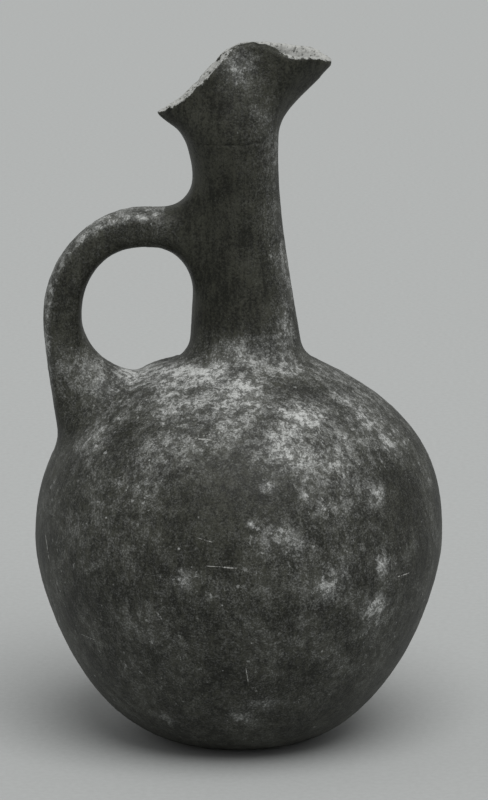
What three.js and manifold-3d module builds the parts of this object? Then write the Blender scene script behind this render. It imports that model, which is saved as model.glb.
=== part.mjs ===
// A hand-built ceramic juglet: a round body, a leaning neck, a pinched head with a beak, and a loop handle.
// It is modelled as the potter's separate clay members, luted together with coils of soft clay.
// Millimetres, +Z up. The origin is the middle of the flat that it stands on, and it pours towards +X.
import * as THREE from "three";
import { mergeVertices } from "three/addons/utils/BufferGeometryUtils.js";
import Module from "manifold-3d";

const wasm = await Module();
wasm.setup();

// Body outline, outside.
const BASE_RADIUS = 13; // flat that it stands on
const FOOT_SPREAD = 22; // how far the underside runs out before it turns up
const FOOT_RISE = 0.8; // lift of the underside over that run
const BELLY_RADIUS = 48.1;
const BELLY_HEIGHT = 48;
const LOWER_SWELL = 13; // fullness under the belly
const UPPER_SWELL = 31; // fullness of the shoulder
const CROWN_RADIUS = 9; // the shoulder's outline ends here, inside the neck's seat
const CROWN_HEIGHT = 95;
const CROWN_RUN = 17; // level run of the shoulder's slope down from the crown
const CROWN_FALL = 9; // fall of that slope

// Clay thickness.
const FLOOR = 6;
const WALL = 4;
const NECK_WALL = 3.8;
const LIP = 3; // rim
const BACK_LIP = 1.9; // rim at the back tip

// Joints between the clay members.
const BASE_JOINT_HEIGHT = 5.5;
const BELLY_JOINT_HEIGHT = 52;
const JOINT_BEVEL = 5; // how much higher a wall joint ends inside than outside
const JOINT_GAP = 0.3;

// Neck: level circles on an axis that leans back towards the handle.
const NECK_FOOT_X = 2.1;
const NECK_TOP_X = -1.4;
const NECK_LENGTH = 54.1; // from the shoulder's inside to the joint with the head
const NECK_WAIST_DEPTH = 10; // below the joint with the head
const NECK_FOOT_RADIUS = 13.9;
const NECK_WAIST_RADIUS = 10.2;
const NECK_TOP_RADIUS = 10.7;
const NECK_TAPER_HIGH = 0.6; // share of the taper done by the lower part of the neck
const NECK_TAPER_ARM = 0.4; // share of its height over which the taper eases in and out

// Head: a flaring mouth pinched from both sides, with a beak in front and a short lip at the back.
// Each rim point is a distance along X, a half width and a height, from the middle of the neck joint.
const SPOUT_TIP = new THREE.Vector3(22.7, 0, 18.2);
const SPOUT_SIDE = new THREE.Vector3(19.6, 6.4, 19.6);
const SPOUT_LOBE = new THREE.Vector3(13.6, 8.9, 20.2);
const CREST = new THREE.Vector3(5.6, 5.8, 22.4);
const BACK_FALL = new THREE.Vector3(-4, 7.6, 16.8);
const BACK_LOBE = new THREE.Vector3(-11.6, 5.2, 9.8);
const BACK_SIDE = new THREE.Vector3(-16.1, 2.5, 7.6);
const BACK_TIP = new THREE.Vector3(-17.5, 0, 6.8);
const CREST_TILT = 0.8; // the near crest stands this much higher and the far one lower
const LOBE_TILT = 0.7; // the rim on both sides of the crest tilts the other way
const FRONT_RISE = 7; // straight rise of the front before it flares
const BACK_RISE = 1.2;
const SIDE_RISE = 7;
const FRONT_FLARE = new THREE.Vector3(8, 0, 7.5); // run of the wall up to the spout's tip
const BACK_FLARE = new THREE.Vector3(-4.5, 0, 4.2);
const SIDE_FLARE = new THREE.Vector3(0, 0, 6);
const LIP_CROWN = 0.6; // rounding of the rim's top

// Handle: a thick strap that rises from the shoulder and turns over into the neck.
const HANDLE_THICKNESS = 9.5; // at its ends
const HANDLE_THINNING = 0.8; // drawn thinner towards its middle
const HANDLE_WIDTH = 12;
const HANDLE_ROOT_DEPTH = 27; // foot of the centreline, below the crown
const HANDLE_ROOT_INSET = 6.7; // foot of the centreline, in from the shoulder's skin
const HANDLE_SIDE_INSET = 6.6; // centreline at its furthest from the axis, in from the belly
const HANDLE_TURN_RUN = 19.5; // width of the turn at the top
const HANDLE_TURN_RISE = 21.3;
const HANDLE_TOP_DEPTH = 20.7; // below the joint of neck and head
const PEG_RADIUS = 3; // tenon at each end of the handle
const PEG_PROUD = 2; // the root's tenon stands this far inside the shoulder

// Luting coils smoothed into the corners.
const NECK_COIL_WIDTH = 4; // along the shoulder
const NECK_COIL_RISE = 4; // up the neck
const ROOT_COIL_INNER_WIDTH = 9; // along the shoulder, inside the loop
const ROOT_COIL_INNER_RISE = 13; // up the handle, inside the loop
const ROOT_COIL_OUTER_WIDTH = 1.5;
const ROOT_COIL_OUTER_RISE = 3;
const ROOT_COIL_GATHER = 1.5; // how closely the wide part keeps to the inside of the loop
const TOP_COIL_ABOVE = 4.5;
const TOP_COIL_BELOW = 8;
const TOP_COIL_RUN = 8; // along the handle
const TOP_COIL_SIDE = 1; // to each side of the handle
const COIL_EDGE = 0.7; // a coil's thin edge stands this far off the clay it is smoothed on to

// Facets.
const TURNS = 40; // around the body, the neck and the head
const BASE_STEPS = 5;
const WALL_STEPS = 10;
const BODY_STEPS = 30; // along the whole outline
const NECK_STEPS = 8;
const HEAD_STEPS = 9;
const HANDLE_SIDES = 16;
const HANDLE_STEPS = 24;
const COIL_STEPS = 6;

const FULL_TURN = 2 * Math.PI;
const MERGE_DISTANCE = 1e-4;
const SEARCH_STEPS = 40;

// Solids from rings and profiles.

function solidFrom(geometry) {
  geometry.deleteAttribute("normal");
  geometry.deleteAttribute("uv");
  const merged = mergeVertices(geometry, MERGE_DISTANCE);
  const corners = merged.index.array;
  const triVerts = [];
  for (let i = 0; i < corners.length; i += 3) {
    const [a, b, c] = [corners[i], corners[i + 1], corners[i + 2]];
    if (a !== b && b !== c && c !== a) triVerts.push(a, b, c);
  }
  return new wasm.Manifold(
    new wasm.Mesh({
      numProp: 3,
      vertProperties: merged.attributes.position.array,
      triVerts: new Uint32Array(triVerts),
    }),
  );
}

function geometryFrom(solid) {
  const mesh = solid.getMesh();
  const geometry = new THREE.BufferGeometry();
  geometry.setAttribute("position", new THREE.BufferAttribute(mesh.vertProperties, 3));
  geometry.setIndex(new THREE.BufferAttribute(mesh.triVerts, 1));
  geometry.computeVertexNormals();
  return geometry;
}

// Turns an outline of (radius, height) points about the Z axis.
function turned(outline) {
  const geometry = new THREE.LatheGeometry(outline, TURNS);
  geometry.rotateX(Math.PI / 2);
  return solidFrom(geometry);
}

// Joins rings of points, each with as many points as the next. A closed loop of rings makes a tube wall,
// and an open row of rings is capped at both ends.
function lofted(rings, loop) {
  const sides = rings[0].length;
  const points = rings.flat();
  const index = [];
  const spans = loop ? rings.length : rings.length - 1;
  for (let i = 0; i < spans; i++) {
    for (let j = 0; j < sides; j++) {
      const next = (i + 1) % rings.length;
      const turn = (j + 1) % sides;
      const [a, b] = [i * sides + j, i * sides + turn];
      const [c, d] = [next * sides + turn, next * sides + j];
      index.push(a, b, c, a, c, d);
    }
  }
  if (!loop) {
    const last = (rings.length - 1) * sides;
    for (let j = 1; j < sides - 1; j++) {
      index.push(0, j + 1, j);
      index.push(last, last + j, last + j + 1);
    }
  }
  const geometry = new THREE.BufferGeometry().setFromPoints(points);
  geometry.setIndex(index);
  return solidFrom(geometry);
}

function levelCircle(x, height, radius) {
  const ring = [];
  for (let j = 0; j < TURNS; j++) {
    const angle = (j / TURNS) * FULL_TURN;
    ring.push(new THREE.Vector3(x + radius * Math.cos(angle), radius * Math.sin(angle), height));
  }
  return ring;
}

// An oval in the plane of two directions, with a half size along each.
function oval(centre, along, halfAlong, across, halfAcross) {
  const ring = [];
  for (let j = 0; j < HANDLE_SIDES; j++) {
    const angle = (j / HANDLE_SIDES) * FULL_TURN;
    const point = centre.clone();
    point.addScaledVector(along, halfAlong * Math.cos(angle));
    point.addScaledVector(across, halfAcross * Math.sin(angle));
    ring.push(point);
  }
  return ring;
}

const mix = THREE.MathUtils.lerp;
const X_AXIS = new THREE.Vector3(1, 0, 0);
const Y_AXIS = new THREE.Vector3(0, 1, 0);
const Z_AXIS = new THREE.Vector3(0, 0, 1);

// Body: base pad, lower bowl and shoulder, all turned from one outline.

const bodyOutline = new THREE.CurvePath();
bodyOutline.add(
  new THREE.CubicBezierCurve(
    new THREE.Vector2(BASE_RADIUS, 0),
    new THREE.Vector2(BASE_RADIUS + FOOT_SPREAD, FOOT_RISE),
    new THREE.Vector2(BELLY_RADIUS, BELLY_HEIGHT - LOWER_SWELL),
    new THREE.Vector2(BELLY_RADIUS, BELLY_HEIGHT),
  ),
);
bodyOutline.add(
  new THREE.CubicBezierCurve(
    new THREE.Vector2(BELLY_RADIUS, BELLY_HEIGHT),
    new THREE.Vector2(BELLY_RADIUS, BELLY_HEIGHT + UPPER_SWELL),
    new THREE.Vector2(CROWN_RADIUS + CROWN_RUN, CROWN_HEIGHT - CROWN_FALL),
    new THREE.Vector2(CROWN_RADIUS, CROWN_HEIGHT),
  ),
);
const outlineLength = bodyOutline.getLength();

// The share of an outline's length, beyond a start, at which a measure of its points reaches a value.
function shareWhere(outline, measure, value, start) {
  let [low, high] = [start, 1];
  for (let i = 0; i < SEARCH_STEPS; i++) {
    const middle = (low + high) / 2;
    if (measure(outline.getPoint(middle)) < value) low = middle;
    else high = middle;
  }
  return low;
}

const heightOf = (point) => point.y;
const outlineAt = (height) => shareWhere(bodyOutline, heightOf, height, 0);

// The same for a radius of the shoulder.
function outlineAtRadius(radius) {
  return shareWhere(bodyOutline, (point) => -point.x, -radius, outlineAt(BELLY_HEIGHT));
}

// A point that lies a depth inside the body's outline.
function underSkin(share, depth) {
  const point = bodyOutline.getPoint(share);
  const tangent = bodyOutline.getTangent(share);
  return new THREE.Vector2(point.x - tangent.y * depth, point.y + tangent.x * depth);
}

function wallDepth(share) {
  const height = bodyOutline.getPoint(share).y;
  return mix(FLOOR, WALL, Math.min(1, height / BELLY_HEIGHT));
}

function wallRun(from, to, inside, steps) {
  const points = [];
  for (let i = 0; i <= steps; i++) {
    const share = mix(from, to, i / steps);
    points.push(underSkin(share, inside ? wallDepth(share) : 0));
  }
  return points;
}

const bevelShare = JOINT_BEVEL / outlineLength;
const halfGapShare = JOINT_GAP / 2 / outlineLength;
const baseJoint = outlineAt(BASE_JOINT_HEIGHT);
const bellyJoint = outlineAt(BELLY_JOINT_HEIGHT);

function makeBasePad() {
  const outside = wallRun(0, baseJoint - halfGapShare, false, BASE_STEPS);
  const inside = wallRun(0, baseJoint - halfGapShare + bevelShare, true, BASE_STEPS);
  const floor = new THREE.Vector2(0, inside[0].y);
  return turned([new THREE.Vector2(0, 0), ...outside, ...inside.reverse(), floor]);
}

function makeWallRing(from, to) {
  const outside = wallRun(from, to, false, WALL_STEPS);
  const inside = wallRun(Math.min(1, from + bevelShare), Math.min(1, to + bevelShare), true, WALL_STEPS);
  return turned([...outside, ...inside.reverse(), outside[0]]);
}

// The body as one filled lump, grown by a clearance, for cutting what sits on it.
function filledBody(growth) {
  const skin = [];
  for (let i = 0; i <= BODY_STEPS; i++) skin.push(underSkin(i / BODY_STEPS, -growth));
  const top = new THREE.Vector2(0, skin[skin.length - 1].y);
  return turned([new THREE.Vector2(0, skin[0].y), ...skin, top]);
}

// Neck.

const neckFootHeight = underSkin(outlineAtRadius(NECK_FOOT_RADIUS), WALL).y;
const neckTopHeight = neckFootHeight + NECK_LENGTH;
const neckWaistHeight = neckTopHeight - NECK_WAIST_DEPTH;
const taperArm = NECK_TAPER_ARM * (neckWaistHeight - neckFootHeight);
const neckOutline = new THREE.CurvePath();
neckOutline.add(
  new THREE.CubicBezierCurve(
    new THREE.Vector2(NECK_FOOT_RADIUS, neckFootHeight),
    new THREE.Vector2(mix(NECK_FOOT_RADIUS, NECK_WAIST_RADIUS, NECK_TAPER_HIGH), neckFootHeight + taperArm),
    new THREE.Vector2(NECK_WAIST_RADIUS, neckWaistHeight - taperArm),
    new THREE.Vector2(NECK_WAIST_RADIUS, neckWaistHeight),
  ),
);
neckOutline.add(
  new THREE.QuadraticBezierCurve(
    new THREE.Vector2(NECK_WAIST_RADIUS, neckWaistHeight),
    new THREE.Vector2(NECK_WAIST_RADIUS, neckWaistHeight + NECK_WAIST_DEPTH / 2),
    new THREE.Vector2(NECK_TOP_RADIUS, neckTopHeight),
  ),
);

const neckAxisX = (height) => mix(NECK_FOOT_X, NECK_TOP_X, (height - neckFootHeight) / NECK_LENGTH);
const neckRadius = (height) => neckOutline.getPoint(shareWhere(neckOutline, heightOf, height, 0)).x;

function neckRings(growth, lift) {
  const rings = [];
  for (let i = 0; i <= NECK_STEPS; i++) {
    const { x: radius, y: height } = neckOutline.getPoint(i / NECK_STEPS);
    const raised = i === NECK_STEPS ? height + lift : height;
    rings.push(levelCircle(neckAxisX(raised), raised, radius + growth));
  }
  return rings;
}

function makeNeck() {
  const outside = neckRings(0, -JOINT_GAP / 2);
  const inside = neckRings(-NECK_WALL, JOINT_BEVEL / 2 - JOINT_GAP / 2);
  return lofted([...outside, ...inside.reverse()], true);
}

// The neck as a filled column, grown by a clearance.
function filledNeck(growth) {
  const height = neckFootHeight - growth;
  const foot = levelCircle(neckAxisX(height), height, NECK_FOOT_RADIUS + growth);
  return lofted([foot, ...neckRings(growth, growth)], false);
}

// Head.

const farSide = (point, tilt) => point.clone().addScaledVector(Z_AXIS, tilt);
const nearSide = (point, tilt) => new THREE.Vector3(point.x, -point.y, point.z - tilt);
const headCentre = new THREE.Vector3(NECK_TOP_X, 0, neckTopHeight);
const rimLine = new THREE.CatmullRomCurve3(
  [
    SPOUT_TIP,
    farSide(SPOUT_SIDE, LOBE_TILT),
    farSide(SPOUT_LOBE, LOBE_TILT),
    farSide(CREST, -CREST_TILT),
    farSide(BACK_FALL, LOBE_TILT),
    BACK_LOBE,
    BACK_SIDE,
    BACK_TIP,
    nearSide(BACK_SIDE, 0),
    nearSide(BACK_LOBE, 0),
    nearSide(BACK_FALL, LOBE_TILT),
    nearSide(CREST, -CREST_TILT),
    nearSide(SPOUT_LOBE, LOBE_TILT),
    nearSide(SPOUT_SIDE, LOBE_TILT),
  ].map((point) => point.clone().add(headCentre)),
  true,
);

// A point of the rim, drawn in across a share of the lip and lowered from the lip's top.
function rimPoint(angle, across, drop) {
  const share = angle / FULL_TURN;
  const inset = across * mix(LIP, BACK_LIP, Math.max(0, -Math.cos(angle)) ** 2);
  const inward = Z_AXIS.clone().cross(rimLine.getTangent(share)).setZ(0).normalize();
  return rimLine.getPoint(share).addScaledVector(inward, inset).addScaledVector(Z_AXIS, -drop);
}

// One upright line of the head's wall, from the neck joint to the rim.
function headLine(angle, across, jointRadius, jointHeight) {
  const forward = Math.max(0, Math.cos(angle)) ** 2;
  const backward = Math.max(0, -Math.cos(angle)) ** 2;
  const sideways = 1 - forward - backward;
  const rise = forward * FRONT_RISE + backward * BACK_RISE + sideways * SIDE_RISE;
  const flare = new THREE.Vector3();
  flare.addScaledVector(FRONT_FLARE, forward);
  flare.addScaledVector(BACK_FLARE, backward);
  flare.addScaledVector(SIDE_FLARE, sideways);
  const start = new THREE.Vector3(
    neckAxisX(jointHeight) + jointRadius * Math.cos(angle),
    jointRadius * Math.sin(angle),
    jointHeight,
  );
  const end = rimPoint(angle, across, LIP_CROWN);
  const lifted = start.clone().addScaledVector(Z_AXIS, rise);
  return new THREE.CubicBezierCurve3(start, lifted, end.clone().sub(flare), end);
}

function headRings(across, jointRadius, jointHeight) {
  const rings = [];
  for (let i = 0; i <= HEAD_STEPS; i++) rings.push([]);
  for (let j = 0; j < TURNS; j++) {
    const line = headLine((j / TURNS) * FULL_TURN, across, jointRadius, jointHeight);
    for (let i = 0; i <= HEAD_STEPS; i++) rings[i].push(line.getPoint(i / HEAD_STEPS));
  }
  return rings;
}

function makeHead() {
  const outside = headRings(0, NECK_TOP_RADIUS, neckTopHeight + JOINT_GAP / 2);
  const insideHeight = neckTopHeight + JOINT_BEVEL / 2 + JOINT_GAP / 2;
  const inside = headRings(1, NECK_TOP_RADIUS - NECK_WALL, insideHeight);
  const crown = [];
  for (let j = 0; j < TURNS; j++) crown.push(rimPoint((j / TURNS) * FULL_TURN, 0.5, 0));
  return lofted([...outside, crown, ...inside.reverse()], true);
}

// Handle.

const KAPPA = (4 / 3) * (Math.SQRT2 - 1); // Bezier arms of a quarter round
const handleTopHeight = neckTopHeight - HANDLE_TOP_DEPTH;
const handleTop = new THREE.Vector3(HANDLE_SIDE_INSET + HANDLE_TURN_RUN - BELLY_RADIUS, 0, handleTopHeight);
const handleSide = new THREE.Vector3(HANDLE_SIDE_INSET - BELLY_RADIUS, 0, handleTopHeight - HANDLE_TURN_RISE);
const handleRootHeight = CROWN_HEIGHT - HANDLE_ROOT_DEPTH;
const skinAtRoot = bodyOutline.getPoint(outlineAt(handleRootHeight)).x;
const handleRoot = new THREE.Vector3(HANDLE_ROOT_INSET - skinAtRoot, 0, handleRootHeight);
const handleEnd = new THREE.Vector3(neckAxisX(handleTopHeight), 0, handleTopHeight);
const rootArm = (handleSide.z - handleRoot.z) / 3;
const handleLine = new THREE.CurvePath();
handleLine.add(
  new THREE.CubicBezierCurve3(
    handleRoot,
    handleRoot.clone().lerp(handleSide, 1 / 3),
    handleSide.clone().addScaledVector(Z_AXIS, -rootArm),
    handleSide,
  ),
);
handleLine.add(
  new THREE.CubicBezierCurve3(
    handleSide,
    handleSide.clone().addScaledVector(Z_AXIS, KAPPA * HANDLE_TURN_RISE),
    handleTop.clone().addScaledVector(X_AXIS, -KAPPA * HANDLE_TURN_RUN),
    handleTop,
  ),
);
handleLine.add(new THREE.LineCurve3(handleTop, handleEnd));

// The strap, grown by a clearance, with its ends run into the shoulder and the neck.
function strap(growth) {
  const rings = [];
  for (let i = 0; i <= HANDLE_STEPS; i++) {
    const centre = handleLine.getPoint(i / HANDLE_STEPS);
    const outward = Y_AXIS.clone().cross(handleLine.getTangent(i / HANDLE_STEPS));
    const thickness = HANDLE_THICKNESS - HANDLE_THINNING * Math.sin((i / HANDLE_STEPS) * Math.PI) ** 2;
    rings.push(oval(centre, outward, thickness / 2 + growth, Y_AXIS, HANDLE_WIDTH / 2 + growth));
  }
  return lofted(rings, false);
}

// How far a point lies outside the body's skin, measured level.
function outsideBody(point) {
  return -point.x - bodyOutline.getPoint(outlineAt(point.z)).x;
}

// The place where the handle's centreline enters the shoulder.
const rootEntry = handleLine.getPoint(shareWhere(handleLine, outsideBody, 0, 0));

function peg(from, to, radius) {
  const direction = to.clone().sub(from).normalize();
  const across = Y_AXIS.clone().cross(direction);
  const ends = [from, to].map((end) => oval(end, across, radius, Y_AXIS, radius));
  return lofted(ends, false);
}

// Tenon through the shoulder's wall, square to the wall.
function rootPeg(growth) {
  const tangent = bodyOutline.getTangent(outlineAt(rootEntry.z));
  const inward = new THREE.Vector3(tangent.y, 0, tangent.x).normalize();
  const tip = rootEntry.clone().addScaledVector(inward, WALL + PEG_PROUD + growth);
  const seat = rootEntry.clone().addScaledVector(inward, -PEG_RADIUS);
  return peg(tip, seat, PEG_RADIUS + growth);
}

// The neck's skin where the handle meets it.
const topEntryX = neckAxisX(handleTopHeight) - neckRadius(handleTopHeight);

// Tenon in the neck's wall, ending flush with the bore.
function topPeg(growth) {
  const tip = new THREE.Vector3(topEntryX + NECK_WALL + growth, 0, handleTopHeight);
  const seat = new THREE.Vector3(topEntryX - PEG_RADIUS, 0, handleTopHeight);
  return peg(seat, tip, PEG_RADIUS + growth);
}

// Luting coils.

// The point of the shoulder over a plan position, lifted off its skin.
function onShoulder({ x, y }, lift) {
  const radius = Math.hypot(x, y);
  const skin = underSkin(outlineAtRadius(radius), -lift);
  return new THREE.Vector3((x / radius) * skin.x, (y / radius) * skin.x, skin.y);
}

// A hollow-faced coil around a column that stands on the shoulder. For each direction around the column,
// its face is a curve from the shoulder, past the corner, up the column.
function coilOnBody(column, base, width, rise, sides) {
  const rings = [];
  for (let i = -1; i <= COIL_STEPS; i++) rings.push([]);
  for (let j = 0; j < sides; j++) {
    const angle = (j / sides) * FULL_TURN;
    const spot = column(angle, COIL_EDGE + width(angle), base);
    const foot = onShoulder(spot, COIL_EDGE);
    const corner = onShoulder(column(angle, COIL_EDGE, base), COIL_EDGE);
    const top = column(angle, COIL_EDGE, corner.z + rise(angle));
    const face = new THREE.QuadraticBezierCurve3(foot, corner, top);
    rings[0].push(onShoulder(spot, -COIL_EDGE));
    for (let i = 0; i <= COIL_STEPS; i++) rings[i + 1].push(face.getPoint(i / COIL_STEPS));
  }
  return lofted(rings, false).subtract(bodyCut);
}

function makeNeckCoil() {
  const column = (angle, growth, height) => {
    const radius = neckRadius(height) + growth;
    return new THREE.Vector3(neckAxisX(height) + radius * Math.cos(angle), radius * Math.sin(angle), height);
  };
  const coil = coilOnBody(column, neckFootHeight, () => NECK_COIL_WIDTH, () => NECK_COIL_RISE, TURNS);
  return coil.subtract(neckCut);
}

// The handle's centreline at a height of its rising part.
function handleAt(height) {
  return handleLine.getPoint(shareWhere(handleLine, (point) => point.z, height, 0));
}

function makeRootCoil() {
  const column = (angle, growth, height) => {
    const point = handleAt(height);
    point.x += (HANDLE_THICKNESS / 2 + growth) * Math.cos(angle);
    point.y += (HANDLE_WIDTH / 2 + growth) * Math.sin(angle);
    return point;
  };
  const inner = (angle) => ((1 + Math.cos(angle)) / 2) ** ROOT_COIL_GATHER;
  const width = (angle) => mix(ROOT_COIL_OUTER_WIDTH, ROOT_COIL_INNER_WIDTH, inner(angle));
  const rise = (angle) => mix(ROOT_COIL_OUTER_RISE, ROOT_COIL_INNER_RISE, inner(angle));
  return coilOnBody(column, rootEntry.z, width, rise, HANDLE_SIDES).subtract(strapCut);
}

// Spread of the upper coil's hollow face: 1 at the neck and 0 along the handle.
const hollow = (share) => (share < 0 ? 1 : 1 - Math.sqrt(1 - (1 - share) ** 2));

// The upper coil's first rings lie inside the neck, so that its cut end follows the neck's round.
function makeTopCoil() {
  const rings = [];
  for (let i = -COIL_STEPS / 2; i <= COIL_STEPS; i++) {
    const share = i / COIL_STEPS;
    const above = COIL_EDGE + TOP_COIL_ABOVE * hollow(share);
    const below = COIL_EDGE + TOP_COIL_BELOW * hollow(share);
    const side = COIL_EDGE + TOP_COIL_SIDE * hollow(share);
    const height = handleTopHeight + (above - below) / 2;
    const half = (HANDLE_THICKNESS + above + below) / 2;
    const centre = new THREE.Vector3(topEntryX - share * TOP_COIL_RUN, 0, height);
    rings.push(oval(centre, Z_AXIS, half, Y_AXIS, HANDLE_WIDTH / 2 + side));
  }
  return lofted(rings, false).subtract(neckCut).subtract(strapCut);
}

// Assembly.

const bodyCut = filledBody(JOINT_GAP);
const neckCut = filledNeck(JOINT_GAP);
const strapCut = strap(JOINT_GAP);

const solids = {
  base_pad: makeBasePad(),
  lower_bowl: makeWallRing(baseJoint + halfGapShare, bellyJoint - halfGapShare),
  shoulder: makeWallRing(bellyJoint + halfGapShare, 1).subtract(neckCut).subtract(rootPeg(JOINT_GAP)),
  neck: makeNeck().subtract(topPeg(JOINT_GAP)),
  spout_head: makeHead(),
  handle: strap(0).subtract(bodyCut).subtract(neckCut).add(rootPeg(0)).add(topPeg(0)),
  neck_luting_coil: makeNeckCoil(),
  handle_root_luting_coil: makeRootCoil(),
  handle_top_luting_coil: makeTopCoil(),
};

const burnishedClay = new THREE.MeshStandardMaterial({ color: 0x3a3a36, roughness: 0.55, metalness: 0 });
const lutingClay = new THREE.MeshStandardMaterial({ color: 0x4a4a46, roughness: 0.7, metalness: 0 });

const juglet = new THREE.Group();
juglet.name = "beak_spouted_juglet";
for (const [name, solid] of Object.entries(solids)) {
  const clay = name.endsWith("luting_coil") ? lutingClay : burnishedClay;
  const mesh = new THREE.Mesh(geometryFrom(solid), clay);
  mesh.name = name;
  juglet.add(mesh);
}

export default juglet;
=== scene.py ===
# %% [markdown]
# # A burnished juglet with a beaked spout
#
# The juglet is a small hand-built pouring vessel: a round body, a leaning neck, a head pinched into a beak, and a
# loop handle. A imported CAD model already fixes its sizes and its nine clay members. This lesson gives each member a
# skin that looks like old burnished clay, and leaves the CAD model where it is.

# %% Load the CAD frame
import math

import bmesh
import bpy
import numpy as np
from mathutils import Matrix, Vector, noise
from mathutils.geometry import interpolate_bezier
from mathutils.kdtree import KDTree


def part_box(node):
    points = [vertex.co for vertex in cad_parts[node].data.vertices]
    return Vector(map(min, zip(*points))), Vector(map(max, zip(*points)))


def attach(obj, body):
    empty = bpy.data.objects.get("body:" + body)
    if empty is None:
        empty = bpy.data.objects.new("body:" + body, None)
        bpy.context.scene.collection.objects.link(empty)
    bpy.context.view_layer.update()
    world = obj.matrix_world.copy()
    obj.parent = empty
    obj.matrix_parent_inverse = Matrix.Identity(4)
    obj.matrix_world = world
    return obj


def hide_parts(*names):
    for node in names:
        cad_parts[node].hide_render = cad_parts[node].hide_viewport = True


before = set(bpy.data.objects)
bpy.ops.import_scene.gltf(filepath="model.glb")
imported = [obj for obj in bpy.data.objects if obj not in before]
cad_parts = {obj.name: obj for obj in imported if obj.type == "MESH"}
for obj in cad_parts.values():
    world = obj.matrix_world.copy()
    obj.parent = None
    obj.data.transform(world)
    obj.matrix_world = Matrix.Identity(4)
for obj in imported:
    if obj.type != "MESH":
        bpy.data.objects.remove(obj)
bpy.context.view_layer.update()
MM = 0.001


def box_mm(node):
    low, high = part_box(node)
    return low / MM, high / MM


# %% [markdown]
# ## The outline of the body
#
# A round pot is one outline turned about an axis. Two Bezier curves are enough: one from the small flat base out to
# the belly, and one from the belly in over the shoulder. The belly's radius comes from the CAD frame, and so do the
# heights of the joints, so that the skin fits the members that it stands for.

# %% Body outline, in millimetres
BELLY_RADIUS = box_mm("lower_bowl")[1].x
BASE_JOINT = box_mm("lower_bowl")[0].z
BELLY_JOINT = box_mm("shoulder")[0].z
HEAD_JOINT = box_mm("spout_head")[0].z
BASE_RADIUS = 13
FOOT_SPREAD = 22
FOOT_RISE = 0.8
BELLY_HEIGHT = 48
LOWER_SWELL = 13
UPPER_SWELL = 31
CROWN_RADIUS = 9
CROWN_HEIGHT = 95
CROWN_RUN = 17
CROWN_FALL = 9
UNDER_STEPS = 48
OVER_STEPS = 60


def curve(start, first_arm, second_arm, end, steps):
    knots = [Vector(p) for p in (start, first_arm, second_arm, end)]
    return interpolate_bezier(*knots, steps + 1)


under_belly = curve(
    (BASE_RADIUS, 0),
    (BASE_RADIUS + FOOT_SPREAD, FOOT_RISE),
    (BELLY_RADIUS, BELLY_HEIGHT - LOWER_SWELL),
    (BELLY_RADIUS, BELLY_HEIGHT),
    UNDER_STEPS,
)
over_belly = curve(
    (BELLY_RADIUS, BELLY_HEIGHT),
    (BELLY_RADIUS, BELLY_HEIGHT + UPPER_SWELL),
    (CROWN_RADIUS + CROWN_RUN, CROWN_HEIGHT - CROWN_FALL),
    (CROWN_RADIUS, CROWN_HEIGHT),
    OVER_STEPS,
)
outline = under_belly + over_belly[1:]


def shoulder_height(radius):
    shoulder = over_belly[::-1]
    return float(np.interp(radius, [p.x for p in shoulder], [p.y for p in shoulder]))


print("body outline:", len(outline), "points, belly radius", round(BELLY_RADIUS, 1))

# %% [markdown]
# ## The inside of the body
#
# The wall is thick at the floor and thinner above. The inside is the outline moved in along its own normal, which a
# small function works out from each point's two neighbours.

# %% Wall thickness
FLOOR = 6
WALL = 4


def moved_in(points, k):
    before, after = points[max(k - 1, 0)], points[min(k + 1, len(points) - 1)]
    along = (after - before).normalized()
    depth = max(WALL, FLOOR + (WALL - FLOOR) * points[k].y / BELLY_HEIGHT)
    return points[k] + Vector((-along.y, along.x)) * depth


cavity = [moved_in(outline, k) for k in range(len(outline))]
print("cavity from", round(cavity[0].y, 1), "to", round(cavity[-1].y, 1), "mm high")

# %% [markdown]
# ## The neck
#
# The neck is a stack of level rings. Its axis leans back towards the handle, so each ring has a centre of its own,
# and one Bezier curve gives the radius from the foot to the waist, with a short second one up to the head.

# %% Neck outline
NECK_FOOT = box_mm("neck")[0].z
NECK_FOOT_X = 2.1
NECK_TOP_X = -1.4
NECK_FOOT_RADIUS = 13.9
NECK_WAIST_RADIUS = 10.2
NECK_TOP_RADIUS = 10.7
NECK_WAIST_DEPTH = 10
NECK_WALL = 3.8
NECK_BACK_HOLLOW = 0.5
NECK_BACK_HOLLOW_DEPTH = 6.7
NECK_BACK_HOLLOW_REACH = 4
NECK_BACK_FLARE = 0.45
NECK_BACK_FLARE_REACH = 2.5
NECK_ARM = 0.4
NECK_DRAW_IN = 0.6
NECK_TOP_ARM = 0.2
NECK_STEPS = 30
NECK_TOP_STEPS = 8
waist = HEAD_JOINT - NECK_WAIST_DEPTH
taper = NECK_ARM * (waist - NECK_FOOT)
neck_line = curve(
    (NECK_FOOT_RADIUS, NECK_FOOT),
    (NECK_FOOT_RADIUS + NECK_DRAW_IN * (NECK_WAIST_RADIUS - NECK_FOOT_RADIUS), NECK_FOOT + taper),
    (NECK_WAIST_RADIUS, waist - taper),
    (NECK_WAIST_RADIUS, waist),
    NECK_STEPS,
) + curve(
    (NECK_WAIST_RADIUS, waist),
    (NECK_WAIST_RADIUS, waist + NECK_WAIST_DEPTH / 3),
    (NECK_WAIST_RADIUS + NECK_TOP_ARM, HEAD_JOINT - NECK_WAIST_DEPTH / 3),
    (NECK_TOP_RADIUS, HEAD_JOINT),
    NECK_TOP_STEPS,
)[1:]


def neck_axis(height):
    return NECK_FOOT_X + (NECK_TOP_X - NECK_FOOT_X) * (height - NECK_FOOT) / (HEAD_JOINT - NECK_FOOT)


def neck_radius(height):
    return float(np.interp(height, [p.y for p in neck_line], [p.x for p in neck_line]))


print("neck from", round(NECK_FOOT, 1), "to", round(HEAD_JOINT, 1), "mm")

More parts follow.
